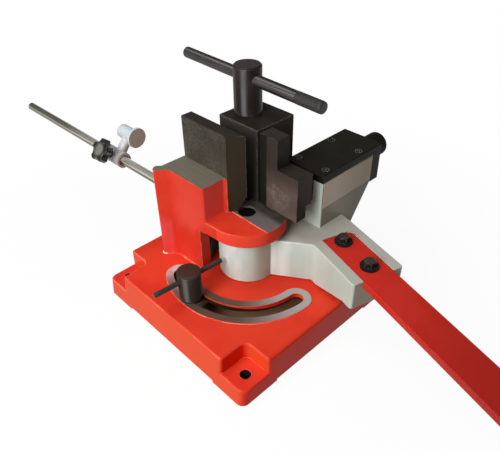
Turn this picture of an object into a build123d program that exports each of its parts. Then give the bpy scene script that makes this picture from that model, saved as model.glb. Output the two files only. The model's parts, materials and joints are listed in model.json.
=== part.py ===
from build123d import *
import math
import os

# A manual bending machine for flat and square bar, in millimetres.
# Origin: where the pivot axis of the bending arm meets the bench.
# +X runs along the workpiece, +Y away from the operator, +Z up.

# Clearances and small edges
RUN = 0.05
SLIDE_GAP = 0.1
EDGE = 1.0
OVERCUT = 1.0
TOUCH = 0.01

# Base
BASE_SIDE = 284.0
BASE_TOP = 50.0
BASE_CORNER_R = 10.0
BASE_EDGE_R = 3.0
BASE_RIGHT_R = 5.0
FRONT_DRAFT = 4.4
BASE_WALL = 12.0
DECK = 8.0
FOOT_RELIEF = 3.0
FOOT_LENGTH = 54.0
PAD_SIDE = 40.0
PAD_WALL = 11.0
PAD_TOP = 25.0
PAD_INNER_R = 9.0
PAD_OUTER_R = 4.0
BOLT_SPACING = 245.0
BOLT_HOLE_R = 7.0
RIB = 8.0
RIB_ANGLES = (30.0, 90.0, 150.0, 205.0)
RIB_BOTTOM = 12.0
BOSS_R = 32.0
BOSS_BOTTOM = 24.0

# Quadrant with the slot for the angle stop, angles from +X
SLOT_R = 96.5
SLOT_WIDTH = 19.0
SLOT_FROM = -3.0
SLOT_TO = -121.0
QUADRANT_WIDTH = 41.0
QUADRANT_RISE = 1.2
QUADRANT_CHAMFER = 0.8

# Column, table and tower
COLUMN_LEFT = -104.0
COLUMN_FRONT = -55.0
COLUMN_BACK = 97.0
COLUMN_END_FRONT = -33.5
COLUMN_END_BACK = -38.0
COLUMN_NECK = -37.0
COLUMN_REAR_END = -8.0
CORE_INSET = 16.0
CORE_DEPTH = 20.0
CORE_R = 6.0
FOOT_R = 3.0
HUB_RECESS_R = 53.0
TABLE_R = 53.4
TABLE_BOTTOM = 120.0
TABLE_TOP = 140.0
TABLE_RIM_R = 2.0
TABLE_BACK = 99.0
SEAT_RISE = 1.0
SEAT_EDGE = 0.5
SEAT_FRONT_Y = -14.0
TOWER_TOP = 190.0
TOWER_END = -21.2
TOWER_LIP = 1.0
TOWER_LIP_R = 3.5
TOWER_FOOT_R = 3.0
WING_ROOT = -87.0
WING_TIP = (-103.8, -72.3)
WING_BACK = (-110.0, -62.8)
WING_R = 3.5
WING_ROOT_R = 14.0
CAST_R = 2.0

# Fixed jaw plate, whose nose edge stands on the pivot axis
PLATE = 17.3
PLATE_LEFT = -102.8
PLATE_TOP = 250.0
PLATE_EDGE = 0.8
NOSE_RELIEF_R = 12.8
NOSE_RELIEF_TIP_R = 1.0
NOSE_RELIEF = 22.0
PLATE_SCREW_X = (-88.0, -60.0, -32.0)
PLATE_SCREW_Z = 166.0
PLATE_SCREW_R = 5.0
PLATE_SCREW_LENGTH = 40.0

# Pivot
PIN_R = 12.0
PIN_TOP = 138.6
PIN_TAIL_R = 9.0
PIN_TAIL_BOTTOM = 5.0
PIVOT_WASHER_R = 17.0
PIVOT_WASHER = 3.0
PIVOT_NUT_FLATS = 27.0
PIVOT_NUT = 14.0
THRUST_R = 30.0
THRUST = 1.5

# Workpiece clamp
GAP = 23.3
BLOCK_LEFT = -75.0
BLOCK_RIGHT = -4.0
BLOCK_DEPTH = 68.0
BLOCK_TOP = 247.0
TONGUE_LEFT = -32.0
TONGUE_RIGHT = -16.0
TONGUE_DEEP = 6.0
TONGUE_FLARE = 2.5
SPINDLE_AT = (-53.0, 55.4)
SPINDLE_R = 18.8
SPINDLE_TOP = 311.2
SPINDLE_CHAMFER = 2.0
THREAD_R = 12.0
SPINDLE_WASHER_R = 17.0
SPINDLE_WASHER = 3.0
TEE_BAR_R = 7.6
TEE_BAR_Z = 294.0
TEE_BAR_LENGTH = 259.0
TEE_BAR_YAW = -2.4
TEE_BAR_CHAMFER = 2.0

# Bending arm; the lever runs at LEVER_YAW, with its own along and across axes
HUB_R = 40.0
HUB_TOP = 119.0
ARM_TOP = 112.0
ARM_BOTTOM = 52.0
ARM_END_BOTTOM = 72.6
ARM_SLOPE_FROM = 83.0
ARM_SLOPE_TO = 141.6
LEVER_YAW = -17.0
SEAT_FRONT = 59.5
SEAT_BACK = 132.4
SEAT_BACK_END = 134.9
SEAT_END = 159.0
WEB_INNER = (20.0, -9.0)
WEB_CORNER_ALONG = 72.5
BUSH_R = 16.0
BUSH_LENGTH = 28.0
LEVER_WIDTH = 45.0
LEVER_THICK = 10.0
LEVER_START = 68.7
LEVER_LENGTH = 600.0
LEVER_DROP = 0.4
LEVER_CENTRE = 97.2
LEVER_CHAMFER = 6.0
LEVER_END_R = 12.0
LEVER_EDGE = 0.8
LEVER_BOLT_ALONG = (84.5, 139.8)
LEVER_BOLT_R = 5.0
LEVER_BOLT_LENGTH = 30.0
LEVER_BOLT_FLATS = 14.5
LEVER_BOLT_TURNS = (33.0, 22.0)
LEVER_BOLT_HEAD = 8.0
LEVER_WASHER_R = 11.9
LEVER_WASHER = 2.5

# Slide housing on the arm
HOUSING_X = 36.0
HOUSING_HALF = 32.5
HOUSING_FRONT = 69.0
HOUSING_BACK = 176.0
HOUSING_TOP = 181.5
HOUSING_HEEL_Z = 138.0
HOUSING_KNEE = (141.7, 86.6)
HOUSING_FOOT_Y = 118.0
CHANNEL_HALF = 17.0
CHANNEL_FLOOR = 150.0
COVER = 11.5
COVER_BACK = 194.5
COVER_CHAMFER = 1.5
COVER_SCREW_X = 23.3
COVER_SCREW_Y = (84.0, 153.0)
COVER_SCREW_R = 2.5
COVER_SCREW_LENGTH = 20.0
REAR_PLATE_BOTTOM = 138.0
REAR_SCREW_X = 24.5
REAR_SCREW_Z = (147.0, 173.0)
REAR_SCREW_R = 3.0
REAR_SCREW_LENGTH = 30.0

# Bending jaw and its adjusting screw
JAW_LEFT = 1.0
JAW_STEP_X = 31.0
JAW_RIGHT = 66.0
JAW_BOTTOM = 143.1
JAW_STEP_Z = 204.7
JAW_TOP = 246.7
JAW_LIP_TOP = 161.0
JAW_LIP_THICK = 16.8
JAW_BODY_THICK = 27.2
JAW_FINGER_THICK = 22.2
JAW_NOSE_R = 1.5
SHANK_BACK = 140.0
SCREW_Z = 166.0
SCREW_R = 8.0
SCREW_TIP = 75.0
SCREW_BORE_END = 70.0
JOURNAL_R = 7.0
COLLAR_R = 13.0
COLLAR = 5.0
KNOB_R = 17.5
KNOB_FROM = 198.5
KNOB_TO = 234.8
KNOB_GRIPS = 40
KNOB_GRIP_R = 0.8
KNOB_GRIPS_FROM = 206.0
KNOB_GRIPS_TO = 231.0
KNOB_EDGE_R = 3.0
KNOB_BORE_TO = 226.5
GRUB_R = 2.5
GRUB_Y = 202.3
GRUB_SUNK = 2.0
GRUB_SOCKET = 3.0

# Angle stop, whose stud rests near the outer wall of the slot
STOP_ANGLE = -92.6
STOP_R = 100.2
STOP_NUT_R = 16.0
STOP_NUT_FOOT_R = 15.0
STOP_NUT_TOP = 96.0
STOP_NUT_CHAMFER = 2.0
STOP_STUD_R = 5.5
STOP_STUD_TOP = 77.0
STOP_BORE_TOP = 79.0
STOP_TEE_RADIAL = 32.0
STOP_TEE_TANGENT = 18.0
STOP_TEE = 10.0
STOP_WASHER_R = 14.5
STOP_WASHER = 2.5
TOMMY_R = 3.5
TOMMY_Z = 84.3
TOMMY_LENGTH = 105.1
TOMMY_SHIFT = -0.4
TOMMY_YAW = 86.1

# Length stop, placed along a rod that leaves the tower's left end
ROD_ROOT = (-104.0, -36.0, 140.0)
ROD_YAW = -1.64
ROD_R = 6.8
ROD_INSIDE = 42.0
ROD_OUTSIDE = 420.0
ROD_TIP_CHAMFER = 1.5
ROD_NUT_FLATS = 21.0
ROD_NUT = 8.0
ROD_NUT_GAP = 0.6
HOLDER_FROM = 127.0
HOLDER_LENGTH = 46.0
HOLDER_R = 12.2
HOLDER_ARM = 39.4
HOLDER_LEAN = 39.5
HOLDER_LEG_R = 7.9
HOLDER_SINK_R = 8.9
HOLDER_SINK = 2.0
TUBE_FROM = 124.5
TUBE_LENGTH = 34.0
TUBE_R = 10.8
BUTTON_R = 15.7
BUTTON = 4.0
BUTTON_STEM_R = 5.0
BUTTON_STEM = 25.0
STAR_ALONG = 147.0
STAR_R = 18.3
STAR_THICK = 12.0
STAR_LOBES = 5
STAR_TURN = 22.0
STAR_HOLLOW_R = 9.0
STAR_HOLLOW_OUT = 4.5
STAR_DISH_R = 9.0
STAR_DISH = 0.8
STAR_STEM_R = 8.0
STAR_NECK_R = 12.0
STAR_STEM = 9.0
STAR_BOSS = 2.0
STAR_GAP = 1.0
STAR_EDGE = 2.5
STUD_R = 4.0

SOCKET_RATIO = 0.6
CENTRED = (Align.CENTER, Align.CENTER, Align.MIN)


# Shared shapes

def between(low, high):
    size = [top - bottom for bottom, top in zip(low, high)]
    return Pos(*low) * Box(*size, align=(Align.MIN, Align.MIN, Align.MIN))


def upright(radius, low, high, at=(0, 0)):
    return Pos(at[0], at[1], low) * Cylinder(radius, high - low, align=CENTRED)


def lengthwise(radius, low, high, x, z):
    return Pos(x, low, z) * Rot(-90, 0, 0) * Cylinder(radius, high - low, align=CENTRED)


def prism(outline, low, high):
    face = make_face(Polyline(*outline, close=True))
    return Pos(0, 0, low) * extrude(face, high - low, dir=(0, 0, 1))


def side_prism(outline, low, high):
    points = [(low, y, z) for y, z in outline]
    face = make_face(Polyline(*points, close=True))
    return extrude(face, high - low, dir=(1, 0, 0))


def hexagon(flats, height):
    return extrude(RegularPolygon(flats / 2, 6, major_radius=False), height)


def polar(radius, angle):
    turn = math.radians(angle)
    return (radius * math.cos(turn), radius * math.sin(turn))


def countersunk(radius, length):
    """A socket screw that stands head up on z = 0, with its shank below."""
    shank = Pos(0, 0, -length) * Cylinder(radius, length, align=CENTRED)
    head = Pos(0, 0, -radius) * Cone(radius, 2 * radius, radius, align=CENTRED)
    socket = Pos(0, 0, -radius) * hexagon(2 * radius * SOCKET_RATIO, radius)
    return shank + head - socket


def countersink(radius, length):
    """The hole that such a screw fills."""
    shank = Pos(0, 0, -length) * Cylinder(radius, length, align=CENTRED)
    head = Pos(0, 0, -radius) * Cone(radius, 2 * radius, radius, align=CENTRED)
    return shank + head


def bevel_ends(solid, axis, size):
    ends = solid.faces().sort_by(axis)
    return chamfer(ends[0].edges() + ends[-1].edges(), size)


def uprights(solid, x, y):
    """The vertical edges that stand on one point of the plan."""
    return [e for e in solid.edges().filter_by(Axis.Z)
            if abs(e.center().X - x) < TOUCH and abs(e.center().Y - y) < TOUCH]


def along_lever(along, across):
    turn = math.radians(LEVER_YAW)
    x = along * math.cos(turn) - across * math.sin(turn)
    y = along * math.sin(turn) + across * math.cos(turn)
    return (x, y)


# Base casting

def right_edge():
    """What the larger rounding along the right-hand edge of the deck takes away."""
    half = BASE_SIDE / 2
    front = -half - FRONT_DRAFT
    x = half - BASE_RIGHT_R
    z = BASE_TOP - BASE_RIGHT_R
    corner = between((x, front, z), (half + OVERCUT, half, BASE_TOP + OVERCUT))
    return corner - lengthwise(BASE_RIGHT_R, front, half, x, z)


def front_draft():
    """What the lean of the front face takes away from an upright block."""
    half = BASE_SIDE / 2
    out = -half - FRONT_DRAFT
    top = BASE_TOP + OVERCUT
    lean = [(out, 0), (-half + FRONT_DRAFT * OVERCUT / BASE_TOP, top), (out - OVERCUT, top), (out - OVERCUT, 0)]
    return side_prism(lean, -half - OVERCUT, half + OVERCUT)


def base_block(top):
    half = BASE_SIDE / 2
    return between((-half, -half - FRONT_DRAFT, 0), (half, half, top)) - front_draft()


def risers(block, top):
    """The edges that rise from the foot of a block to its top."""
    return [e for e in block.edges() if abs(e.center().Z - top / 2) < TOUCH]


def top_rounded(block):
    return fillet(block.faces().sort_by(Axis.Z)[-1].edges(), BASE_EDGE_R)


def base_body():
    pad = BASE_SIDE / 2 - PAD_SIDE
    upper = base_block(BASE_TOP)
    for sx in (-1, 1):
        for sy in (-1, 1):
            middle = pad + PAD_SIDE
            upper -= Pos(sx * middle, sy * middle) * Box(2 * PAD_SIDE, 2 * PAD_SIDE, BASE_TOP, align=CENTRED)
    inner = [e for e in risers(upper, BASE_TOP) if max(abs(e.center().X), abs(e.center().Y)) < pad + TOUCH]
    upper = fillet(inner, PAD_INNER_R)
    outer = [e for e in risers(upper, BASE_TOP)
             if max(abs(e.center().X), abs(e.center().Y)) > BASE_SIDE / 2 - TOUCH]
    upper = top_rounded(fillet(outer, PAD_OUTER_R))
    lower = base_block(PAD_TOP)
    lower = top_rounded(fillet(risers(lower, PAD_TOP), BASE_CORNER_R))
    body = upper + lower - right_edge()
    relief = BASE_SIDE - 2 * FOOT_LENGTH
    body -= Box(relief, BASE_SIDE + 2 * FRONT_DRAFT, FOOT_RELIEF, align=CENTRED)
    body -= Box(BASE_SIDE, relief, FOOT_RELIEF, align=CENTRED)
    inside = BASE_SIDE - 2 * BASE_WALL
    across = 2 * (pad - PAD_WALL)
    hollow = Box(inside, across, BASE_TOP - DECK, align=CENTRED)
    hollow += Box(across, inside, BASE_TOP - DECK, align=CENTRED)
    body -= hollow
    for angle in RIB_ANGLES:
        rib = Pos(BOSS_R - OVERCUT, 0, RIB_BOTTOM) * Box(
            BASE_SIDE, RIB, BASE_TOP - DECK - RIB_BOTTOM, align=(Align.MIN, Align.CENTER, Align.MIN))
        body += (Rot(0, 0, angle) * rib) & hollow
    body += upright(BOSS_R, BOSS_BOTTOM, BASE_TOP - DECK)
    for sx in (-1, 1):
        for sy in (-1, 1):
            at = (sx * BOLT_SPACING / 2, sy * BOLT_SPACING / 2)
            body -= upright(BOLT_HOLE_R, 0, PAD_TOP, at)
    return body


def quadrant_band(width):
    path = CenterArc((0, 0), SLOT_R, SLOT_TO, SLOT_FROM - SLOT_TO)
    return SlotArc(path, width)


def front_outline(end_x):
    return [
        (end_x, COLUMN_FRONT),
        (WING_ROOT, COLUMN_FRONT),
        WING_TIP,
        WING_BACK,
        (COLUMN_LEFT, COLUMN_FRONT),
    ]


def wing_rounded(solid):
    solid = fillet(uprights(solid, *WING_TIP) + uprights(solid, *WING_BACK), WING_R)
    return fillet(uprights(solid, WING_ROOT, COLUMN_FRONT), WING_ROOT_R)


def column():
    outline = front_outline(COLUMN_END_FRONT) + [
        (COLUMN_LEFT, COLUMN_BACK),
        (COLUMN_REAR_END, COLUMN_BACK),
        (COLUMN_REAR_END, 0),
        (COLUMN_END_BACK, 0),
        (COLUMN_END_BACK, COLUMN_NECK),
    ]
    low = BASE_TOP - OVERCUT
    high = TABLE_BOTTOM + OVERCUT
    solid = wing_rounded(prism(outline, low, high)) - upright(HUB_RECESS_R, low, high)
    core_low = (COLUMN_LEFT + CORE_INSET, COLUMN_BACK - CORE_DEPTH, BASE_TOP + CORE_INSET)
    core_high = (COLUMN_REAR_END - CORE_INSET, COLUMN_BACK + OVERCUT, TABLE_BOTTOM - CORE_INSET / 2)
    core = fillet(between(core_low, core_high).edges().filter_by(Axis.Y), CORE_R)
    return solid - core


def foot_rounded(body):
    """A cast fillet where the column's outer faces rise from the deck."""
    feet = [e for e in body.edges()
            if abs(e.center().Z - BASE_TOP) < TOUCH and e.geom_type == GeomType.LINE
            and on_column_face(e.center())]
    return fillet(feet, FOOT_R)


def on_column_face(point):
    on_left = abs(point.X - COLUMN_LEFT) < TOUCH
    on_front = abs(point.Y - COLUMN_FRONT) < TOUCH
    on_back = abs(point.Y - COLUMN_BACK) < TOUCH
    return on_left or on_front or on_back


def tower():
    """The tower behind the fixed jaw, whose end flares into a thin lip along the plate."""
    outline = front_outline(TOWER_END) + [
        (COLUMN_LEFT, -PLATE),
        (-PLATE, -PLATE),
        (-PLATE, -PLATE - TOWER_LIP),
        (TOWER_END, -PLATE - TOWER_LIP),
    ]
    solid = wing_rounded(prism(outline, TABLE_BOTTOM, TOWER_TOP))
    solid = fillet(uprights(solid, TOWER_END, COLUMN_FRONT), CAST_R)
    return fillet(uprights(solid, TOWER_END, -PLATE - TOWER_LIP), TOWER_LIP_R)


def tower_foot(body):
    """The edge where the tower's end stands on the cast table."""
    level = TABLE_TOP - SEAT_RISE
    return [e for e in body.edges()
            if abs(e.center().Z - level) < TOUCH and abs(e.center().X - TOWER_END) < TOUCH]


def table_tangent():
    """Where a line from the tower's front corner touches the table's round end."""
    corner = math.degrees(math.atan2(COLUMN_FRONT, TOWER_END))
    turn = math.degrees(math.acos(TABLE_R / math.hypot(TOWER_END, COLUMN_FRONT)))
    return polar(TABLE_R, corner + turn)


def table_plan():
    outline = [
        (COLUMN_LEFT, COLUMN_FRONT),
        (TOWER_END, COLUMN_FRONT),
        table_tangent(),
        (0, 0),
        (0, TABLE_BACK),
        (COLUMN_LEFT, TABLE_BACK),
    ]
    return Circle(TABLE_R) + make_face(Polyline(*outline, close=True))


def milled_seat():
    """The seat of the plate and block, which stands proud of the cast table."""
    low = TABLE_BOTTOM + TABLE_RIM_R
    outline = [
        (COLUMN_LEFT, -PLATE),
        (SEAT_FRONT_Y, -PLATE),
        (SEAT_FRONT_Y, SEAT_FRONT_Y),
        (TABLE_R, SEAT_FRONT_Y),
        (TABLE_R, TABLE_BACK),
        (COLUMN_LEFT, TABLE_BACK),
    ]
    plan = table_plan() & make_face(Polyline(*outline, close=True))
    seat = Pos(0, 0, low) * extrude(plan, TABLE_TOP - low)
    front = [e for e in seat.faces().sort_by(Axis.Z)[-1].edges()
             if abs(e.center().Y - SEAT_FRONT_Y) < TOUCH]
    return chamfer(front, SEAT_EDGE)


def dovetail(gap, front, back):
    """The tongue that guides the clamp block and holds it down, or its groove with a gap all round."""
    low = TABLE_TOP - TONGUE_DEEP - gap
    high = TABLE_TOP + OVERCUT
    left = TONGUE_LEFT - gap
    right = TONGUE_RIGHT + gap
    outline = [
        (left, high),
        (left, TABLE_TOP),
        (left - TONGUE_FLARE, low),
        (right + TONGUE_FLARE, low),
        (right, TABLE_TOP),
        (right, high),
    ]
    face = make_face(Polyline(*[(x, front, z) for x, z in outline], close=True))
    return extrude(face, back - front, dir=(0, 1, 0))


def table():
    cast = Pos(0, 0, TABLE_BOTTOM) * extrude(table_plan(), TABLE_TOP - SEAT_RISE - TABLE_BOTTOM)
    rims = cast.faces().sort_by(Axis.Z)
    cast = fillet(rims[-1].edges() + rims[0].edges(), TABLE_RIM_R)
    return cast + milled_seat() - dovetail(SLIDE_GAP, 0, TABLE_BACK + OVERCUT)


def quadrant_strip():
    low = BASE_TOP - OVERCUT
    strip = Pos(0, 0, low) * extrude(quadrant_band(QUADRANT_WIDTH), BASE_TOP + QUADRANT_RISE - low)
    return chamfer(strip.faces().sort_by(Axis.Z)[-1].edges(), QUADRANT_CHAMFER)


def base_casting():
    body = base_body() + quadrant_strip()
    body -= extrude(quadrant_band(SLOT_WIDTH), BASE_TOP + QUADRANT_RISE + OVERCUT)
    body = foot_rounded(body + column())
    body += table() + tower()
    body = fillet(tower_foot(body), TOWER_FOOT_R)
    body -= upright(PIN_R, 0, TABLE_TOP + OVERCUT)
    for x in PLATE_SCREW_X:
        body -= Pos(x, 0, PLATE_SCREW_Z) * Rot(-90, 0, 0) * countersink(PLATE_SCREW_R, PLATE_SCREW_LENGTH)
    inner_end = -ROD_INSIDE - OVERCUT
    body -= rod_place(inner_end) * Cylinder(ROD_R + RUN, OVERCUT - inner_end, align=CENTRED)
    return body


# Fixed jaw and pivot

def fixed_jaw_plate():
    outline = [(PLATE_LEFT, 0), (PLATE_LEFT, -PLATE), (-PLATE, -PLATE), (0, 0)]
    plate = prism(outline, TABLE_TOP, PLATE_TOP)
    top = plate.faces().sort_by(Axis.Z)[-1].edges()
    plate = chamfer([e for e in top if e.center().X < -PLATE], PLATE_EDGE)
    plate -= Pos(0, 0, TABLE_TOP) * Cone(NOSE_RELIEF_R, NOSE_RELIEF_TIP_R, NOSE_RELIEF, align=CENTRED)
    for x in PLATE_SCREW_X:
        plate -= Pos(x, 0, PLATE_SCREW_Z) * Rot(-90, 0, 0) * countersink(PLATE_SCREW_R, PLATE_SCREW_LENGTH)
    return plate


def fixed_jaw_screws():
    screw = countersunk(PLATE_SCREW_R, PLATE_SCREW_LENGTH)
    return [Pos(x, 0, PLATE_SCREW_Z) * Rot(-90, 0, 0) * screw for x in PLATE_SCREW_X]


def pivot_pin():
    pin = upright(PIN_R, BOSS_BOTTOM, PIN_TOP)
    pin = chamfer(pin.faces().sort_by(Axis.Z)[-1].edges(), EDGE)
    return pin + upright(PIN_TAIL_R, PIN_TAIL_BOTTOM, BOSS_BOTTOM)


def pivot_washer():
    low = BOSS_BOTTOM - PIVOT_WASHER
    return upright(PIVOT_WASHER_R, low, BOSS_BOTTOM) - upright(PIN_TAIL_R, low, BOSS_BOTTOM)


def pivot_nut():
    low = BOSS_BOTTOM - PIVOT_WASHER - PIVOT_NUT
    nut = Pos(0, 0, low) * hexagon(PIVOT_NUT_FLATS, PIVOT_NUT)
    return nut - upright(PIN_TAIL_R, low, low + PIVOT_NUT)


def thrust_washer():
    top = BASE_TOP + THRUST
    return upright(THRUST_R, BASE_TOP, top) - upright(PIN_R + RUN, BASE_TOP, top)


# Workpiece clamp

def clamp_block():
    """The block that the spindle locks: it screws through the block and presses on the table."""
    back = GAP + BLOCK_DEPTH
    block = between((BLOCK_LEFT, GAP, TABLE_TOP + RUN), (BLOCK_RIGHT, back, BLOCK_TOP))
    block = chamfer(block.edges().filter_by(Axis.Z) + block.faces().sort_by(Axis.Z)[-1].edges(), EDGE)
    block += dovetail(0, GAP + EDGE, back - EDGE)
    return block - upright(THREAD_R + RUN, TABLE_TOP, BLOCK_TOP + OVERCUT, SPINDLE_AT)


def spindle_washer():
    low = BLOCK_TOP + RUN
    washer = upright(SPINDLE_WASHER_R, low, low + SPINDLE_WASHER, SPINDLE_AT)
    return washer - upright(THREAD_R + RUN, low, low + SPINDLE_WASHER, SPINDLE_AT)


def clamp_spindle():
    shoulder = BLOCK_TOP + SPINDLE_WASHER + 2 * RUN
    head = upright(SPINDLE_R, shoulder, SPINDLE_TOP, SPINDLE_AT)
    head = chamfer(head.faces().sort_by(Axis.Z)[-1].edges(), SPINDLE_CHAMFER)
    spindle = head + upright(THREAD_R, TABLE_TOP + RUN, shoulder, SPINDLE_AT)
    return spindle - tee_bar_place() * Cylinder(TEE_BAR_R, 3 * SPINDLE_R)


def tee_bar_place():
    return Pos(*SPINDLE_AT, TEE_BAR_Z) * Rot(0, 0, TEE_BAR_YAW) * Rot(0, 90, 0)


def tee_bar():
    return tee_bar_place() * bevel_ends(Cylinder(TEE_BAR_R, TEE_BAR_LENGTH), Axis.Z, TEE_BAR_CHAMFER)


# Bending arm

def arm_outline():
    right = HOUSING_X + HOUSING_HALF
    left = HOUSING_X - HOUSING_HALF
    turn = math.radians(LEVER_YAW)
    back_along = (right + SEAT_BACK * math.sin(turn)) / math.cos(turn)
    return [
        WEB_INNER,
        along_lever(WEB_CORNER_ALONG, SEAT_FRONT),
        along_lever(SEAT_END, SEAT_FRONT),
        along_lever(SEAT_END, SEAT_BACK_END),
        along_lever(back_along, SEAT_BACK),
        (left, HOUSING_FOOT_Y),
        (left, 0),
    ]


def arm_underside():
    """Space under the lever seat, which slopes up and runs level to its free end."""
    end = SEAT_END + OVERCUT
    rise = ARM_END_BOTTOM - ARM_BOTTOM
    wedge = [(ARM_SLOPE_FROM, 0), (end, 0), (end, rise), (ARM_SLOPE_TO, rise)]
    points = [(along, 0, ARM_BOTTOM + up) for along, up in wedge]
    face = make_face(Polyline(*points, close=True))
    solid = extrude(face, 2 * SEAT_BACK, dir=(0, 1, 0))
    return Rot(0, 0, LEVER_YAW) * solid


def housing():
    outline = [
        (HOUSING_FRONT, ARM_BOTTOM),
        (HOUSING_FRONT, HOUSING_TOP),
        (HOUSING_BACK, HOUSING_TOP),
        (HOUSING_BACK, HOUSING_HEEL_Z),
        HOUSING_KNEE,
        (HOUSING_FOOT_Y, ARM_BOTTOM),
    ]
    solid = side_prism(outline, HOUSING_X - HOUSING_HALF, HOUSING_X + HOUSING_HALF)
    front = solid.faces().sort_by(Axis.Y)[0].edges().filter_by(Axis.Z)
    slope = [e for e in solid.edges() if e.center().Y > HOUSING_FOOT_Y and e.center().Z < HOUSING_HEEL_Z]
    solid = fillet(front + [e for e in slope if e not in solid.edges().filter_by(Axis.X)], CAST_R)
    channel = between(
        (HOUSING_X - CHANNEL_HALF, HOUSING_FRONT - OVERCUT, CHANNEL_FLOOR),
        (HOUSING_X + CHANNEL_HALF, HOUSING_BACK + OVERCUT, HOUSING_TOP + OVERCUT))
    return solid - channel


def lever_plan(clearance):
    half = LEVER_WIDTH / 2 + clearance
    start = LEVER_START - clearance
    return [
        (start, LEVER_CENTRE - half),
        (LEVER_START + LEVER_LENGTH, LEVER_CENTRE - half),
        (LEVER_START + LEVER_LENGTH, LEVER_CENTRE + half),
        (start + LEVER_CHAMFER, LEVER_CENTRE + half),
        (start, LEVER_CENTRE + half - LEVER_CHAMFER),
    ]


def lever_prism(clearance, low, high):
    return prism([along_lever(*point) for point in lever_plan(clearance)], low, high)


def lever_floor():
    return ARM_TOP - LEVER_DROP - LEVER_THICK


def arm_casting():
    web = prism(arm_outline(), ARM_BOTTOM, ARM_TOP)
    corners = [e for e in web.edges().filter_by(Axis.Z) if e.center().X > HOUSING_X + HOUSING_HALF]
    web = fillet(corners, 2 * CAST_R) - arm_underside()
    web = fillet(web.faces().sort_by(Axis.Z)[-1].edges(), CAST_R)
    hub = upright(HUB_R, BASE_TOP + THRUST + SLIDE_GAP, HUB_TOP)
    arm = web + hub + housing()
    arm -= upright(BUSH_R, BASE_TOP, HUB_TOP + OVERCUT)
    arm -= lever_prism(SLIDE_GAP, lever_floor(), ARM_TOP + OVERCUT)
    for along in LEVER_BOLT_ALONG:
        at = along_lever(along, LEVER_CENTRE)
        arm -= upright(LEVER_BOLT_R, lever_floor() - LEVER_BOLT_LENGTH, lever_floor() + OVERCUT, at)
    for screw_hole in cover_screw_places():
        arm -= screw_hole * countersink(COVER_SCREW_R, COVER_SCREW_LENGTH)
    for screw_hole in rear_screw_places():
        arm -= screw_hole * countersink(REAR_SCREW_R, REAR_SCREW_LENGTH)
    return arm


def bush(low):
    return upright(BUSH_R, low, low + BUSH_LENGTH) - upright(PIN_R + RUN, low, low + BUSH_LENGTH)


def lower_bush():
    return bush(BASE_TOP + THRUST + SLIDE_GAP)


def upper_bush():
    return bush(HUB_TOP - BUSH_LENGTH)


def lever_bar():
    low = lever_floor()
    bar = lever_prism(0, low, low + LEVER_THICK)
    ends = bar.edges().filter_by(Axis.Z).sort_by(Axis.X)[-2:]
    bar = bevel_ends(fillet(ends, LEVER_END_R), Axis.Z, LEVER_EDGE)
    for along in LEVER_BOLT_ALONG:
        bar -= upright(LEVER_BOLT_R, low, low + LEVER_THICK, along_lever(along, LEVER_CENTRE))
    return bar


def lever_washers():
    low = lever_floor() + LEVER_THICK
    washers = []
    for along in LEVER_BOLT_ALONG:
        at = along_lever(along, LEVER_CENTRE)
        ring = upright(LEVER_WASHER_R, low, low + LEVER_WASHER, at)
        washers.append(ring - upright(LEVER_BOLT_R, low, low + LEVER_WASHER, at))
    return washers


def lever_bolts():
    low = lever_floor() + LEVER_THICK + LEVER_WASHER
    bottom = lever_floor() - LEVER_BOLT_LENGTH + 2 * OVERCUT
    bolts = []
    for along, turn in zip(LEVER_BOLT_ALONG, LEVER_BOLT_TURNS):
        at = along_lever(along, LEVER_CENTRE)
        head = Rot(0, 0, turn) * hexagon(LEVER_BOLT_FLATS, LEVER_BOLT_HEAD)
        crown = Cone(LEVER_BOLT_FLATS, LEVER_BOLT_FLATS / 2 - EDGE / 2, LEVER_BOLT_HEAD, align=CENTRED)
        bolts.append(Pos(*at, low) * (head & crown) + upright(LEVER_BOLT_R, bottom, low, at))
    return bolts


# Slide housing pieces

def cover_screw_places():
    top = HOUSING_TOP + COVER
    places = []
    for y in COVER_SCREW_Y:
        for sx in (-1, 1):
            places.append(Pos(HOUSING_X + sx * COVER_SCREW_X, y, top))
    return places


def rear_screw_places():
    places = []
    for z in REAR_SCREW_Z:
        for sx in (-1, 1):
            places.append(Pos(HOUSING_X + sx * REAR_SCREW_X, COVER_BACK, z) * Rot(-90, 0, 0))
    return places


def slide_cover():
    low = (HOUSING_X - HOUSING_HALF, HOUSING_FRONT, HOUSING_TOP)
    cover = between(low, (HOUSING_X + HOUSING_HALF, COVER_BACK, HOUSING_TOP + COVER))
    cover = chamfer(cover.faces().sort_by(Axis.Z)[-1].edges(), COVER_CHAMFER)
    for place in cover_screw_places():
        cover -= place * countersink(COVER_SCREW_R, COVER_SCREW_LENGTH)
    return cover


def cover_screws():
    screw = countersunk(COVER_SCREW_R, COVER_SCREW_LENGTH)
    return [place * screw for place in cover_screw_places()]


def rear_plate():
    low = (HOUSING_X - HOUSING_HALF, HOUSING_BACK, REAR_PLATE_BOTTOM)
    plate = between(low, (HOUSING_X + HOUSING_HALF, COVER_BACK, HOUSING_TOP))
    plate = chamfer(plate.faces().sort_by(Axis.Y)[-1].edges(), EDGE)
    plate -= lengthwise(JOURNAL_R + RUN, HOUSING_BACK, COVER_BACK, HOUSING_X, SCREW_Z)
    for place in rear_screw_places():
        plate -= place * countersink(REAR_SCREW_R, REAR_SCREW_LENGTH)
    return plate


def rear_plate_screws():
    screw = countersunk(REAR_SCREW_R, REAR_SCREW_LENGTH)
    return [place * screw for place in rear_screw_places()]


# Bending jaw and its screw

def jaw_block(right, thick, top):
    """A block behind the jaw's face, with its top edges broken except along the face."""
    block = between((JAW_LEFT, GAP, JAW_LIP_TOP), (right, GAP + thick, top))
    edges = block.faces().sort_by(Axis.Z)[-1].edges()
    return chamfer([e for e in edges if e.center().Y > GAP + TOUCH], PLATE_EDGE)


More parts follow.
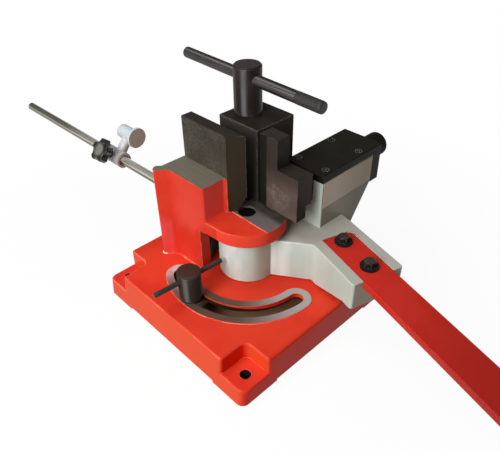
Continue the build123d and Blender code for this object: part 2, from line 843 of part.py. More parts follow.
def bending_jaw():
    lip = between((JAW_LEFT, GAP, JAW_BOTTOM), (JAW_RIGHT, GAP + JAW_LIP_THICK, JAW_LIP_TOP))
    jaw = lip + jaw_block(JAW_RIGHT, JAW_BODY_THICK, JAW_STEP_Z)
    jaw += jaw_block(JAW_STEP_X, JAW_FINGER_THICK, JAW_TOP)
    jaw = fillet(uprights(jaw, JAW_LEFT, GAP), JAW_NOSE_R)
    shank_half = CHANNEL_HALF - SLIDE_GAP
    shank = between(
        (HOUSING_X - shank_half, GAP + JAW_LIP_THICK - OVERCUT, CHANNEL_FLOOR + SLIDE_GAP),
        (HOUSING_X + shank_half, SHANK_BACK, HOUSING_TOP - SLIDE_GAP))
    return jaw + shank - lengthwise(SCREW_R + RUN, SCREW_BORE_END, SHANK_BACK, HOUSING_X, SCREW_Z)


def adjusting_screw():
    seat = HOUSING_BACK - SLIDE_GAP
    screw = lengthwise(SCREW_R, SCREW_TIP, seat - COLLAR, HOUSING_X, SCREW_Z)
    return screw + lengthwise(JOURNAL_R, seat - COLLAR, KNOB_BORE_TO, HOUSING_X, SCREW_Z)


def screw_collar():
    seat = HOUSING_BACK - SLIDE_GAP
    ring = lengthwise(COLLAR_R, seat - COLLAR, seat, HOUSING_X, SCREW_Z)
    return ring - lengthwise(JOURNAL_R, seat - COLLAR, seat, HOUSING_X, SCREW_Z)


def adjusting_knob():
    knob = lengthwise(KNOB_R, KNOB_FROM, KNOB_TO, HOUSING_X, SCREW_Z)
    knob = fillet(knob.faces().sort_by(Axis.Y)[-1].edges(), KNOB_EDGE_R)
    for k in range(KNOB_GRIPS):
        x, z = polar(KNOB_R, 360 * k / KNOB_GRIPS)
        knob -= lengthwise(KNOB_GRIP_R, KNOB_GRIPS_FROM, KNOB_GRIPS_TO, HOUSING_X + x, SCREW_Z + z)
    knob -= lengthwise(JOURNAL_R, KNOB_FROM, KNOB_BORE_TO, HOUSING_X, SCREW_Z)
    return knob - upright(GRUB_R, SCREW_Z + JOURNAL_R, SCREW_Z + KNOB_R, (HOUSING_X, GRUB_Y))


def knob_set_screw():
    at = (HOUSING_X, GRUB_Y)
    top = SCREW_Z + KNOB_R - GRUB_SUNK
    screw = upright(GRUB_R, SCREW_Z + JOURNAL_R, top, at)
    return screw - Pos(*at, top - GRUB_SOCKET) * hexagon(2 * GRUB_R * SOCKET_RATIO, GRUB_SOCKET)


# Angle stop

def stop_at():
    return polar(STOP_R, STOP_ANGLE)


def stop_tee_bolt():
    top = BASE_TOP - DECK - SLIDE_GAP
    tee = Box(STOP_TEE_RADIAL, STOP_TEE_TANGENT, STOP_TEE, align=(Align.CENTER, Align.CENTER, Align.MAX))
    bolt = Pos(*polar(SLOT_R, STOP_ANGLE), top) * Rot(0, 0, STOP_ANGLE) * tee
    return bolt + upright(STOP_STUD_R, top - OVERCUT, STOP_STUD_TOP, stop_at())


def washer_bottom():
    return BASE_TOP + QUADRANT_RISE + RUN


def stop_washer():
    low = washer_bottom()
    ring = upright(STOP_WASHER_R, low, low + STOP_WASHER, stop_at())
    return ring - upright(STOP_STUD_R, low, low + STOP_WASHER, stop_at())


def tommy_place():
    return Pos(*stop_at(), TOMMY_Z) * Rot(0, 0, TOMMY_YAW) * Rot(0, 90, 0)


def stop_nut():
    low = washer_bottom() + STOP_WASHER + RUN
    nut = Pos(*stop_at(), low) * Cone(STOP_NUT_FOOT_R, STOP_NUT_R, STOP_NUT_TOP - low, align=CENTRED)
    nut = chamfer(nut.faces().sort_by(Axis.Z)[-1].edges(), STOP_NUT_CHAMFER)
    nut -= upright(STOP_STUD_R + RUN, low, STOP_BORE_TOP, stop_at())
    return nut - tommy_place() * Cylinder(TOMMY_R, 3 * STOP_NUT_R)


def stop_tommy_bar():
    bar = bevel_ends(Cylinder(TOMMY_R, TOMMY_LENGTH), Axis.Z, EDGE)
    return tommy_place() * Pos(0, 0, TOMMY_SHIFT) * bar


# Length stop

def rod_place(along, off=0.0, lean=0.0):
    """A place on the rod with its own Z pointing outwards, moved off the rod at a lean from upright."""
    turn = math.radians(ROD_YAW)
    out = Vector(-math.cos(turn), math.sin(turn), 0)
    side = Vector(math.sin(turn), math.cos(turn), 0)
    tilt = math.radians(lean)
    away = side * math.sin(tilt) + Vector(0, 0, 1) * math.cos(tilt)
    origin = Vector(*ROD_ROOT) + out * along + away * off
    return Plane(origin=origin, x_dir=away, z_dir=out).location


def stop_rod():
    rod = Cylinder(ROD_R, ROD_INSIDE + ROD_OUTSIDE, align=CENTRED)
    rod = chamfer(rod.faces().sort_by(Axis.Z)[-1].edges(), ROD_TIP_CHAMFER)
    return rod_place(-ROD_INSIDE) * rod


def rod_lock_nut():
    nut = hexagon(ROD_NUT_FLATS, ROD_NUT) - Cylinder(ROD_R, 3 * ROD_NUT)
    return rod_place(ROD_NUT_GAP) * nut


def leaning(along, angle):
    """A place on the rod with its own Z pointing away from it, at an angle from upright."""
    here = rod_place(along, 0, angle)
    return here * Rot(0, 90, 0)


def stop_holder():
    collar = rod_place(HOLDER_FROM) * Cylinder(HOLDER_R, HOLDER_LENGTH, align=CENTRED)
    tube = rod_place(TUBE_FROM, HOLDER_ARM, HOLDER_LEAN) * Cylinder(TUBE_R, TUBE_LENGTH, align=CENTRED)
    leg = leaning(TUBE_FROM + TUBE_LENGTH / 2, HOLDER_LEAN) * Cylinder(
        HOLDER_LEG_R, HOLDER_ARM, align=CENTRED)
    boss = leaning(STAR_ALONG, HOLDER_LEAN - 90) * Cylinder(
        STAR_STEM_R, HOLDER_R + STAR_BOSS, align=CENTRED)
    holder = collar + tube + leg + boss
    holder -= rod_place(HOLDER_FROM - HOLDER_LENGTH / 2) * Cylinder(
        ROD_R + RUN, 2 * HOLDER_LENGTH, align=CENTRED)
    holder -= rod_place(HOLDER_FROM) * Cylinder(HOLDER_SINK_R, HOLDER_SINK, align=CENTRED)
    holder -= leaning(STAR_ALONG, HOLDER_LEAN - 90) * Cylinder(STUD_R + RUN, 2 * HOLDER_R, align=CENTRED)
    stem = rod_place(TUBE_FROM, HOLDER_ARM, HOLDER_LEAN)
    return holder - stem * Cylinder(BUTTON_STEM_R, BUTTON_STEM, align=CENTRED)


def stop_button():
    place = rod_place(TUBE_FROM, HOLDER_ARM, HOLDER_LEAN)
    disc = Pos(0, 0, -BUTTON) * Cylinder(BUTTON_R, BUTTON, align=CENTRED)
    disc = chamfer(disc.faces().sort_by(Axis.Z)[0].edges(), EDGE / 2)
    return place * (disc + Cylinder(BUTTON_STEM_R, BUTTON_STEM, align=CENTRED))


def star_shape():
    face = Circle(STAR_R)
    for k in range(STAR_LOBES):
        x, y = polar(STAR_R + STAR_HOLLOW_OUT, STAR_TURN + 360 * (k + 0.5) / STAR_LOBES)
        face -= Pos(x, y) * Circle(STAR_HOLLOW_R)
    return fillet(face.vertices(), STAR_EDGE)


def star_knob():
    stem_from = HOLDER_R + STAR_BOSS + STAR_GAP
    disc = extrude(star_shape(), STAR_THICK)
    disc = fillet(disc.faces().sort_by(Axis.Z)[-1].edges(), STAR_EDGE)
    disc -= Pos(0, 0, STAR_THICK - STAR_DISH) * Cylinder(STAR_DISH_R, STAR_THICK, align=CENTRED)
    knob = Pos(0, 0, stem_from + STAR_STEM) * disc
    knob += Pos(0, 0, stem_from) * Cone(STAR_STEM_R, STAR_NECK_R, STAR_STEM + OVERCUT, align=CENTRED)
    knob -= Cylinder(STUD_R, stem_from + STAR_STEM + STAR_THICK / 2, align=CENTRED)
    return leaning(STAR_ALONG, HOLDER_LEAN - 90) * knob


def star_knob_stud():
    low = ROD_R + SLIDE_GAP
    high = HOLDER_R + STAR_BOSS + STAR_GAP + STAR_STEM + STAR_THICK / 2
    stud = Pos(0, 0, low) * Cylinder(STUD_R, high - low, align=CENTRED)
    return leaning(STAR_ALONG, HOLDER_LEAN - 90) * stud


NODES = [
    base_casting, fixed_jaw_plate, fixed_jaw_screws, pivot_pin, pivot_washer, pivot_nut, thrust_washer,
    clamp_block, spindle_washer, clamp_spindle, tee_bar,
    arm_casting, lower_bush, upper_bush, lever_bar, lever_washers, lever_bolts,
    slide_cover, cover_screws, rear_plate, rear_plate_screws,
    bending_jaw, adjusting_screw, screw_collar, adjusting_knob, knob_set_screw,
    stop_tee_bolt, stop_washer, stop_nut, stop_tommy_bar,
    stop_rod, rod_lock_nut, stop_holder, stop_button, star_knob, star_knob_stud,
]

os.makedirs("parts", exist_ok=True)
for make in NODES:
    made = make()
    node = Compound(children=made) if isinstance(made, list) else made
    export_step(node, os.path.join("parts", make.__name__ + ".step"))
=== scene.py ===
import json
import math

import bpy
from mathutils import Matrix, Vector

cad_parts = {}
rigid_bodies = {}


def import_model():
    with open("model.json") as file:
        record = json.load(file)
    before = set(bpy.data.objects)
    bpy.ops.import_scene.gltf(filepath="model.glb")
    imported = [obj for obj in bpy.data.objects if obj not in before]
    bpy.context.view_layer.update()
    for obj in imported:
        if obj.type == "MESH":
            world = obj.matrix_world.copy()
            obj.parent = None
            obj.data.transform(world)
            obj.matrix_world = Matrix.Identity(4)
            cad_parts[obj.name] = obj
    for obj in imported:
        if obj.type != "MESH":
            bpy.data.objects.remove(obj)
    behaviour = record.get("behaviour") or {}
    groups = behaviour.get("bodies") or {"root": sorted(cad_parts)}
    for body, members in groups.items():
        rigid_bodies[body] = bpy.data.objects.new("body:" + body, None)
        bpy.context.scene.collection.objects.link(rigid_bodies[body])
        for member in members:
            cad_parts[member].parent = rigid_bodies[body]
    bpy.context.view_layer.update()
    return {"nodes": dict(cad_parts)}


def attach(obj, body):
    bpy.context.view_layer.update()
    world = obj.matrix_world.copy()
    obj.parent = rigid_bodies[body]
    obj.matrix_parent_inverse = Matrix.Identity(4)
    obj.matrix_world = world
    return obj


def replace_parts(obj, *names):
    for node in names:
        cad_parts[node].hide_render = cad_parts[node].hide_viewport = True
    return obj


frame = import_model()
nodes = frame["nodes"]

# Sizes are in metres, in the machine's own frame: pivot axis at the origin, +X along the work, +Z up.
MM = 0.001
FLUSH = 0.2 * MM

# Camera
CAMERA_AT = Vector((0.42700, -0.39605, 0.55134))
CAMERA_AZIMUTH = math.radians(46.81)
CAMERA_ELEVATION = math.radians(36.68)
CAMERA_ROLL = math.radians(-1.12)
FOCAL_PIXELS = 539.95
PICTURE_WIDTH = 500
SENSOR_WIDTH = 36.0

# Which way a face looks before its tone changes: the share of its normal along one axis
SQUARE_ON = 0.9
PAINT_RIGHT = (0.7, 0.95)
PAINT_FRONT = (-0.1, -0.5)
SKIRT_FRONT = (-0.7, -0.95)
SLOPED = (0.3, 0.9)
SLOPED_RIGHT = 0.3
GLINT_FRONT = -0.15
HUB_LEFT = (0.9, 0.4)
HUB_AWAY = (0.8, 0.97)
CASTING_UP = (0.5, 0.9)
HOUSING_RIGHT = (0.75, 0.95)
PLATE_FRONT = 0.97
ROD_BELOW = (0.44, 0.2)
DISC_RIGHT = (0.8, 0.97)

# Sharp edges: how well a rounded normal still matches the flat one
EDGE_MATCH = (0.99, 0.88)
EDGE_SAMPLES = 6

# Red casting: its levels, machined faces and dark places
TOWER_TOP = 190 * MM
TABLE_TOP = 140 * MM
TABLE_BOTTOM = 120 * MM
TABLE_RADIUS = 53.4 * MM
DECK_TOP = 50 * MM
PAD_TOP = 25 * MM
GROOVE_X = (-34.7 * MM, -13.3 * MM)
GROOVE_DEEP = 6.3 * MM
SEAT_SHADE_Y = (4 * MM, 16 * MM)
STRIP_TOP = 51.2 * MM
STRIP_RADIUS = 96.5 * MM
STRIP_RIGHT = (math.radians(-55), math.radians(-8))
STRIP_LEFT = (math.radians(-82), math.radians(-108))
STRIP_END = (math.radians(-116), math.radians(-127))
SLOT_HALF = 9.6 * MM
SLOT_PAINT_TURN = (math.radians(-75), math.radians(-12))
SLOT_PAINT_DEEP = (1.2 * MM, 5.5 * MM)
RECESS_RADIUS = 53.03 * MM
RECESS_RISE = 2 * MM
PIVOT_HOLE = 12.3 * MM
BOLT_HOLE_AT = 122.5 * MM
BOLT_HOLE = 7.2 * MM
CUTTER_TURN = math.radians(-4)
PAINT_ROUGH = 0.16
BARE_ROUGH = 0.45
BARE_METALLIC = 0.35

# Red casting: painted glints at the foot of its walls, and a painted sheen on the column's wing
GLINT_RISE = 1.3 * MM
GLINT_X = (-66 * MM, -84 * MM)
WING_X = (-88 * MM, -94 * MM)
WING_SHEEN_Z = (122 * MM, 98 * MM)

# Lever, with shade painted in towards its end, and the tops of its bolts, which carry a painted highlight
LEVER_SHADE_X = (0.15, 0.42)
BOLT_TOP = 122.1 * MM

# Grey casting: its top by the lever, where its hub ends, the shade painted on its housing's right side,
# and the highlight painted on its edges
ARM_TOP = 111.5 * MM
HUB_X = (108 * MM, 62 * MM)
HOUSING_SHADE_Y = (100 * MM, 150 * MM)
HOUSING_SHADE_SHARE = 0.9
CASTING_EDGE_GLINT = 0.7

# Bare sheet on the side of the slide housing
SHEET_X = 68.5 * MM
SHEET_Y = (72.0 * MM, 175.0 * MM)
SHEET_Z = (142.0 * MM, 180.0 * MM)
SHEET_THICK = 0.4 * MM
SHEET_CORNER = 1.5 * MM
SHEET_SHADE_Y = (85 * MM, 165 * MM)

# Fixed jaw plate, with a painted light that grows a little towards its foot
PLATE_LIGHT_Z = (238 * MM, 196 * MM)
PLATE_LIGHT_SHARE = 0.12

# Bending jaw's face, cut with a fly cutter, and the plate's shadow painted on its left strip
JAW_FACE_Y = 23.3 * MM
SWIRL_AT = (33.6 * MM, 167.7 * MM)
SWIRL_PITCH = 4.2 * MM
SWIRL_WANDER = 2.0
SWIRL_FADE = (28 * MM, 4 * MM)
SWIRL_SCOUR = (26 * MM, 6 * MM)
JAW_SHADE_X = 12.8 * MM
JAW_FINGER_Z = (165 * MM, 215 * MM)

# Black oxide: how far smudges change the roughness
SMUDGE_ROUGH = 0.06

# Turned pieces and their lathe lines
LATHE_PITCH = 0.8 * MM
LATHE_FLANK = 0.45
TURNED_ROUGH = (0.28, 0.36)

# Tee bar and its knurled grip
TEE_BAR_AT = Vector((-53, 55.4, 294)) * MM
TEE_BAR_YAW = math.radians(-2.4)
TEE_BAR_RADIUS = 7.6 * MM
TEE_BAR_LENGTH = 259 * MM
TEE_BAR_CHAMFER = 2 * MM
GRIP_LENGTH = 37 * MM
GRIP_END = 4 * MM
GRIP_PITCH = 1.0 * MM
GRIP_HEIGHT = 0.2 * MM
GRIP_X = TEE_BAR_AT.x + TEE_BAR_LENGTH / 2 - GRIP_END - GRIP_LENGTH
GRIP_ROUGH = 0.25

# New pieces: faces that meet at less than this are shaded as one
SMOOTH_ANGLE = math.radians(30)

# Bright steel: how far smudges change the roughness
DRAWN_ROUGH = (-0.04, 0.05)

# Length stop: the rod's darker far end and its underside darkened as a painted reflection, the darker
# lower collar and the highlight painted on the star knob
ROD_DARKER_X = (-0.30, -0.42)
ROD_DARKER = 0.7
ROD_UNDERSIDE_SHADE = 0.9
COLLAR_DARKER_Z = (158 * MM, 150 * MM)
STAR_AT = (-250.2 * MM, -66.2 * MM, 161.5 * MM)
STAR_HIGHLIGHT = (13 * MM, 7 * MM)

# Floor, and what shows of it under the hollow base
FLOOR_RADIUS = 6
FLOOR_SIDES = 96
FLOOR_AT = (0, 0, -0.2 * MM)
HOLLOW_HALF = 128 * MM
BROWN_X = (-25 * MM, 25 * MM)
CLEAR_FROM = (0.2, 0.75)
NEAR_SHARE = 0.93

# Sky and lamps
SKY_FADE = (0.06, 0.28)
SKY_CEILING = 0.12
SKY_SOFT = 0.13
KEY_AT = (0.21, -1.17, 0.86)
KEY_SIZE = 0.9
KEY_POWER = 16.0
TOP_AT = (-0.3, -0.3, 1.4)
TOP_SIZE = 0.8
TOP_POWER = 6.4
AIM = (0.0, 0.0, 0.12)


# Node helpers

def tone(code):
    """A colour written as six hexadecimal digits, in the linear values that a shader takes."""
    values = [int(code[i:i + 2], 16) / 255 for i in (0, 2, 4)]
    linear = [v / 12.92 if v <= 0.04045 else ((v + 0.055) / 1.055) ** 2.4 for v in values]
    return (*linear, 1.0)


def start(name):
    material = bpy.data.materials.new(name)
    material.use_nodes = True
    tree = material.node_tree
    return material, tree, tree.nodes["Principled BSDF"]


def feed(tree, socket, value):
    """Links the socket to the output of a node, or sets it to a plain value."""
    if isinstance(value, bpy.types.NodeSocket):
        tree.links.new(value, socket)
    else:
        socket.default_value = value


def add(tree, kind, sockets=None, **settings):
    made = tree.nodes.new(kind)
    for key, value in settings.items():
        setattr(made, key, value)
    for key, value in (sockets or {}).items():
        feed(tree, made.inputs[key], value)
    return made


def maths(tree, operation, *values):
    sockets = dict(enumerate(values))
    return add(tree, "ShaderNodeMath", sockets, operation=operation).outputs[0]


def both(tree, *masks):
    product = masks[0]
    for mask in masks[1:]:
        product = maths(tree, "MULTIPLY", product, mask)
    return product


def either(tree, *masks):
    highest = masks[0]
    for mask in masks[1:]:
        highest = maths(tree, "MAXIMUM", highest, mask)
    return highest


def within(tree, value, low, high):
    above = maths(tree, "GREATER_THAN", value, low)
    return both(tree, above, maths(tree, "LESS_THAN", value, high))


def blend(tree, factor, *colors):
    """Two colours mixed, each the output of a node or the code of a tone."""
    first, second = (tone(color) if isinstance(color, str) else color for color in colors)
    made = add(tree, "ShaderNodeMix", {0: factor, 6: first, 7: second}, data_type="RGBA")
    return made.outputs[2]


def spread(tree, value, low, high, to_low=0.0, to_high=1.0):
    """The value eased from one range into another, and held at its ends."""
    sockets = {"Value": value, "From Min": low, "From Max": high, "To Min": to_low, "To Max": to_high}
    return add(tree, "ShaderNodeMapRange", sockets, interpolation_type="SMOOTHSTEP").outputs[0]


def here(tree):
    return add(tree, "ShaderNodeTexCoord").outputs["Object"]


def split(tree, vector):
    return tuple(add(tree, "ShaderNodeSeparateXYZ", {0: vector}).outputs)


def axes(tree):
    return split(tree, here(tree))


def radius(tree, first, second):
    """How far a point lies from the axis that the two lengths are measured from."""
    squares = [maths(tree, "MULTIPLY", length, length) for length in (first, second)]
    return maths(tree, "SQRT", maths(tree, "ADD", *squares))


def facing(tree):
    """How far a face looks along X, Y and Z."""
    return split(tree, add(tree, "ShaderNodeTexCoord").outputs["Normal"])


def upward(tree):
    """One on faces that look straight up, nought elsewhere."""
    return maths(tree, "GREATER_THAN", facing(tree)[2], SQUARE_ON)


def cloud(tree, scale, detail=2.0, stretch=(1, 1, 1), turn=(0, 0, 0)):
    mapping = add(tree, "ShaderNodeMapping", {"Vector": here(tree), "Scale": stretch, "Rotation": turn})
    sockets = {"Vector": mapping.outputs[0], "Scale": scale, "Detail": detail}
    return add(tree, "ShaderNodeTexNoise", sockets).outputs[0]


def bump(tree, height, depth, strength=1.0, under=None):
    sockets = {"Height": height, "Distance": depth, "Strength": strength}
    if under is not None:
        sockets["Normal"] = under
    return add(tree, "ShaderNodeBump", sockets).outputs[0]


def edges(tree, width):
    """One along the sharp edges of a piece, nought on its flats."""
    rounded = add(tree, "ShaderNodeBevel", {"Radius": width}, samples=EDGE_SAMPLES).outputs[0]
    flat = add(tree, "ShaderNodeNewGeometry").outputs["Normal"]
    match = add(tree, "ShaderNodeVectorMath", {0: rounded, 1: flat}, operation="DOT_PRODUCT")
    return spread(tree, match.outputs["Value"], *EDGE_MATCH)


def edge_wear_and_glint(tree, width, grain, low=0.35, high=0.65):
    """Sharp edges brightened in places: wear on bare steel, a painted highlight on paint and on screw
    rims.
    """
    return maths(tree, "MULTIPLY", edges(tree, width), spread(tree, cloud(tree, grain, 3), low, high))


def settle(tree, shader, **sockets):
    names = {"color": "Base Color", "roughness": "Roughness", "metallic": "Metallic", "normal": "Normal",
             "specular": "Specular IOR Level"}
    for key, value in sockets.items():
        feed(tree, shader.inputs[names[key]], value)


# Finishes

def bare_places(tree):
    """One on the machined faces of the red casting: tower top, table seat, groove and quadrant strip."""
    x, y, z = axes(tree)
    tower = maths(tree, "GREATER_THAN", z, TOWER_TOP - FLUSH)
    seat = maths(tree, "COMPARE", z, TABLE_TOP, FLUSH)
    strip = maths(tree, "COMPARE", z, STRIP_TOP, FLUSH)
    groove = both(tree, within(tree, z, TABLE_TOP - GROOVE_DEEP, TABLE_TOP - FLUSH),
                  within(tree, x, *GROOVE_X), maths(tree, "GREATER_THAN", y, 0.0))
    return either(tree, both(tree, either(tree, tower, seat, strip), upward(tree)), groove)


def dark_places(tree):
    """Where the red turns dark: greenish dark grey in the hub recess, a grey bore in the pivot hole, and
    painted shade on the slot walls below the red and in the bolt holes.
    """
    x, y, z = axes(tree)
    reach = radius(tree, x, y)
    recess = both(tree, maths(tree, "LESS_THAN", reach, RECESS_RADIUS),
                  within(tree, z, DECK_TOP + RECESS_RISE, TABLE_BOTTOM + FLUSH))
    hole = both(tree, maths(tree, "LESS_THAN", reach, PIVOT_HOLE),
                maths(tree, "GREATER_THAN", z, TABLE_BOTTOM - FLUSH))
    painted = spread(tree, maths(tree, "ARCTAN2", y, x), *SLOT_PAINT_TURN, *SLOT_PAINT_DEEP)
    slot = both(tree, maths(tree, "COMPARE", reach, STRIP_RADIUS, SLOT_HALF),
                maths(tree, "LESS_THAN", z, maths(tree, "SUBTRACT", DECK_TOP, painted)))
    outward = [maths(tree, "ABSOLUTE", length) for length in (x, y)]
    from_bolt = [maths(tree, "SUBTRACT", length, BOLT_HOLE_AT) for length in outward]
    bolt_hole = both(tree, maths(tree, "LESS_THAN", radius(tree, *from_bolt), BOLT_HOLE),
                     maths(tree, "LESS_THAN", z, PAD_TOP - FLUSH))
    return recess, hole, either(tree, slot, bolt_hole)


def machined_iron(tree):
    """Milled iron: greenish on the tower, lilac-grey on the table, and a strip whose tones along its arc
    are painted reflection.
    """
    x, y, z = axes(tree)
    cutter_marks = cloud(tree, 60, 3, (0.6, 14, 1), (0, 0, CUTTER_TURN))
    streaks = spread(tree, cutter_marks, 0.25, 0.75)
    stains = spread(tree, cloud(tree, 24, 3), 0.4, 0.7, 0.0, 0.5)
    seat = blend(tree, streaks, "787170", "867F7E")
    # painted shade: the seat darkens towards the clamp block and the jaw
    seat = blend(tree, spread(tree, y, *SEAT_SHADE_Y), seat, "3A3833")
    tower = blend(tree, streaks, "7C7668", "8A8474")
    angle = maths(tree, "ARCTAN2", y, x)
    # painted reflection along the strip's arc: brown in its middle, lighter to its right, pinkish and
    # near white towards its left end
    strip = blend(tree, spread(tree, angle, *STRIP_RIGHT), "6C564B", "BAB0AC")
    reflection_patches = spread(tree, cloud(tree, 50, 3), 0.3, 0.65, 0.3, 1.0)
    strip = blend(tree, both(tree, spread(tree, angle, *STRIP_LEFT), reflection_patches), strip, "A98B88")
    strip = blend(tree, both(tree, spread(tree, angle, *STRIP_END), reflection_patches), strip, "E4D9DB")
    metal = blend(tree, maths(tree, "GREATER_THAN", z, TABLE_TOP + FLUSH), seat, tower)
    metal = blend(tree, stains, metal, "7A6A60")
    return blend(tree, maths(tree, "LESS_THAN", z, TABLE_BOTTOM), metal, strip), cutter_marks


def red_casting():
    """Glossy red paint on a casting whose machined faces are bare."""
    material, tree, shader = start("red_casting")
    mottled = spread(tree, cloud(tree, 14, 3), 0.35, 0.65)
    paint = blend(tree, mottled, "DE3726", "E6432C")
    right, front, tilt = facing(tree)
    x, y, height = axes(tree)
    rightward = spread(tree, right, *PAINT_RIGHT)
    # painted light: a lighter red on the tower's right end, which faces away from the lamps
    tower_end = both(tree, maths(tree, "GREATER_THAN", height, TABLE_TOP), rightward)
    paint = blend(tree, tower_end, paint, "EE5446")
    forward = spread(tree, front, *PAINT_FRONT)
    # painted reflection: a patchy pink sheen low on the front of the column's wing
    patchy = spread(tree, cloud(tree, 40, 3, (1, 1, 0.3)), 0.3, 0.6, 0.35, 0.75)
    wing = both(tree, spread(tree, x, *WING_X), spread(tree, height, *WING_SHEEN_Z), forward, patchy)
    paint = blend(tree, wing, paint, "F65D5D")
    # painted highlight: a lighter red on the front of the table's rim
    rim = both(tree, maths(tree, "COMPARE", radius(tree, x, y), TABLE_RADIUS, FLUSH), forward,
               maths(tree, "GREATER_THAN", height, TABLE_BOTTOM))
    paint = blend(tree, rim, paint, "F44C38")
    # painted light and shade on the skirt below the deck: more orange where it faces front, deeper red
    # where it faces right
    skirt = maths(tree, "LESS_THAN", height, DECK_TOP)
    paint = blend(tree, both(tree, skirt, spread(tree, front, *SKIRT_FRONT)), paint, "EA4E28")
    paint = blend(tree, both(tree, skirt, rightward), paint, "E42810")
    # painted highlight: a lighter pink on sloped faces and fillets that do not face right
    sloped = within(tree, tilt, *SLOPED)
    rounding = both(tree, sloped, maths(tree, "LESS_THAN", right, SLOPED_RIGHT),
                    spread(tree, cloud(tree, 30, 3), 0.4, 0.65, 0.2, 0.7))
    paint = blend(tree, rounding, paint, "F4785E")
    # painted glints: broken pale dashes at the foot of the walls by the wing and round the pads
    deck_foot = within(tree, height, DECK_TOP + FLUSH, DECK_TOP + GLINT_RISE)
    pad_foot = within(tree, height, PAD_TOP + FLUSH, PAD_TOP + GLINT_RISE)
    by_wing = both(tree, deck_foot, spread(tree, x, *GLINT_X),
                   maths(tree, "LESS_THAN", front, GLINT_FRONT))
    broken = spread(tree, cloud(tree, 60, 2), 0.42, 0.52)
    glint = both(tree, sloped, either(tree, by_wing, pad_foot), broken)
    paint = blend(tree, glint, paint, "F7DDD5")
    # painted highlights along the casting's sharp edges
    paint = blend(tree, edge_wear_and_glint(tree, 0.7 * MM, 45, 0.42, 0.6), paint, "F6C9BC")
    recess, hole, slot_and_bolt_shade = dark_places(tree)
    paint = blend(tree, recess, paint, "485A4C")
    paint = blend(tree, hole, paint, "6A7264")
    # painted shade: dark brown on the slot walls below the red and in the bolt holes
    paint = blend(tree, slot_and_bolt_shade, paint, "341C13")
    bare = bare_places(tree)
    metal, cutter_marks = machined_iron(tree)
    smooth = bump(tree, cloud(tree, 320, 2), 0.04 * MM, 0.25)
    rows = bump(tree, cutter_marks, 0.05 * MM, 0.2)
    normal = add(tree, "ShaderNodeMix", {0: bare, 4: smooth, 5: rows}, data_type="VECTOR").outputs[1]
    settle(tree, shader, color=blend(tree, bare, paint, metal), normal=normal, specular=0.05,
           metallic=maths(tree, "MULTIPLY", bare, BARE_METALLIC),
           roughness=spread(tree, bare, 0, 1, PAINT_ROUGH, BARE_ROUGH))
    return material


def lever_paint():
    """Glossy red paint, with shade painted in towards the lever's end."""
    material, tree, shader = start("lever_paint")
    mottled = spread(tree, cloud(tree, 20, 3), 0.35, 0.65)
    paint = blend(tree, mottled, "D02E22", "D83428")
    # painted shade: the red darkens towards the lever's far end
    paint = blend(tree, spread(tree, axes(tree)[0], *LEVER_SHADE_X), paint, "A6241C")
    settle(tree, shader, color=paint, roughness=0.35, specular=0.15,
           normal=bump(tree, cloud(tree, 300, 2), 0.04 * MM, 0.25))
    return material


def grey_casting():
    """Hammered grey paint, greenish on its walls; painted light on the hub, and painted shade on its
    tops, where the hub turns away, and on the side by the lever.
    """
    material, tree, shader = start("grey_casting")
    warm = spread(tree, cloud(tree, 18, 3), 0.35, 0.65)
    cool = spread(tree, cloud(tree, 27, 3, (1, 1, 0.5)), 0.4, 0.7, 0.0, 0.5)
    right, _, up = facing(tree)
    x, y, z = axes(tree)
    grey = blend(tree, warm, "C8D6CB", "D0D9D0")
    low = maths(tree, "LESS_THAN", z, ARM_TOP)
    # painted light: the hub's left side is lighter and greener, streaked upright
    hub = both(tree, low, spread(tree, x, *HUB_X), spread(tree, right, *HUB_LEFT))
    light_streaks = spread(tree, cloud(tree, 60, 3, (1, 1, 0.12)), 0.3, 0.7)
    grey = blend(tree, hub, grey, blend(tree, light_streaks, "CEDFD5", "F2FBF6"))
    # painted shade where the hub turns away to the right
    turned_away = both(tree, low, maths(tree, "LESS_THAN", x, HUB_X[1]), spread(tree, right, *HUB_AWAY))
    grey = blend(tree, turned_away, grey, "B0AC9E")
    # painted shade: tops are darker and browner
    grey = blend(tree, spread(tree, up, *CASTING_UP), grey, "C2BDB2")
    grey = blend(tree, cool, grey, "B8C1B2")
    # painted shade: faces of the housing that look right turn brown and dark, more so towards the back
    side = both(tree, spread(tree, right, *HOUSING_RIGHT), maths(tree, "GREATER_THAN", x, HUB_X[1]))
    housing_shade = blend(tree, spread(tree, y, *HOUSING_SHADE_Y), "948473", "6C5B46")
    grey = blend(tree, maths(tree, "MULTIPLY", side, HOUSING_SHADE_SHARE), grey, housing_shade)
    # painted highlights along the casting's sharp edges
    wear_and_painted_light = maths(tree, "MULTIPLY", edge_wear_and_glint(tree, 0.8 * MM, 40), CASTING_EDGE_GLINT)
    grey = blend(tree, wear_and_painted_light, grey, "ECEEE6")
    cast = bump(tree, cloud(tree, 110, 4), 0.1 * MM, 0.3)
    settle(tree, shader, color=grey, roughness=0.34, specular=0.2,
           normal=bump(tree, cloud(tree, 420, 2), 0.04 * MM, 0.25, cast))
    return material


def blackened(name, dark, light, roughness, shine, wear_and_painted_light=None, stretch=(1, 1, 0.05)):
    """Black oxide on ground steel: fine grinding lines, cloudy smudges and, given an edge colour,
    brighter edges for wear and painted highlight.
    """
    material, tree, shader = start(name)
    lines = cloud(tree, 700, 2, stretch)
    smudge = cloud(tree, 35, 4)
    shade = maths(tree, "MULTIPLY", maths(tree, "ADD", lines, smudge), 0.5)
    color = blend(tree, spread(tree, shade, 0.35, 0.65), dark, light)
    if wear_and_painted_light:
        color = blend(tree, edge_wear_and_glint(tree, 0.5 * MM, 90), color, wear_and_painted_light)
    rough = spread(tree, smudge, 0.3, 0.7, roughness - SMUDGE_ROUGH, roughness + SMUDGE_ROUGH)
    settle(tree, shader, color=color, roughness=rough, specular=shine,
           normal=bump(tree, lines, 0.03 * MM, 0.3))
    return material


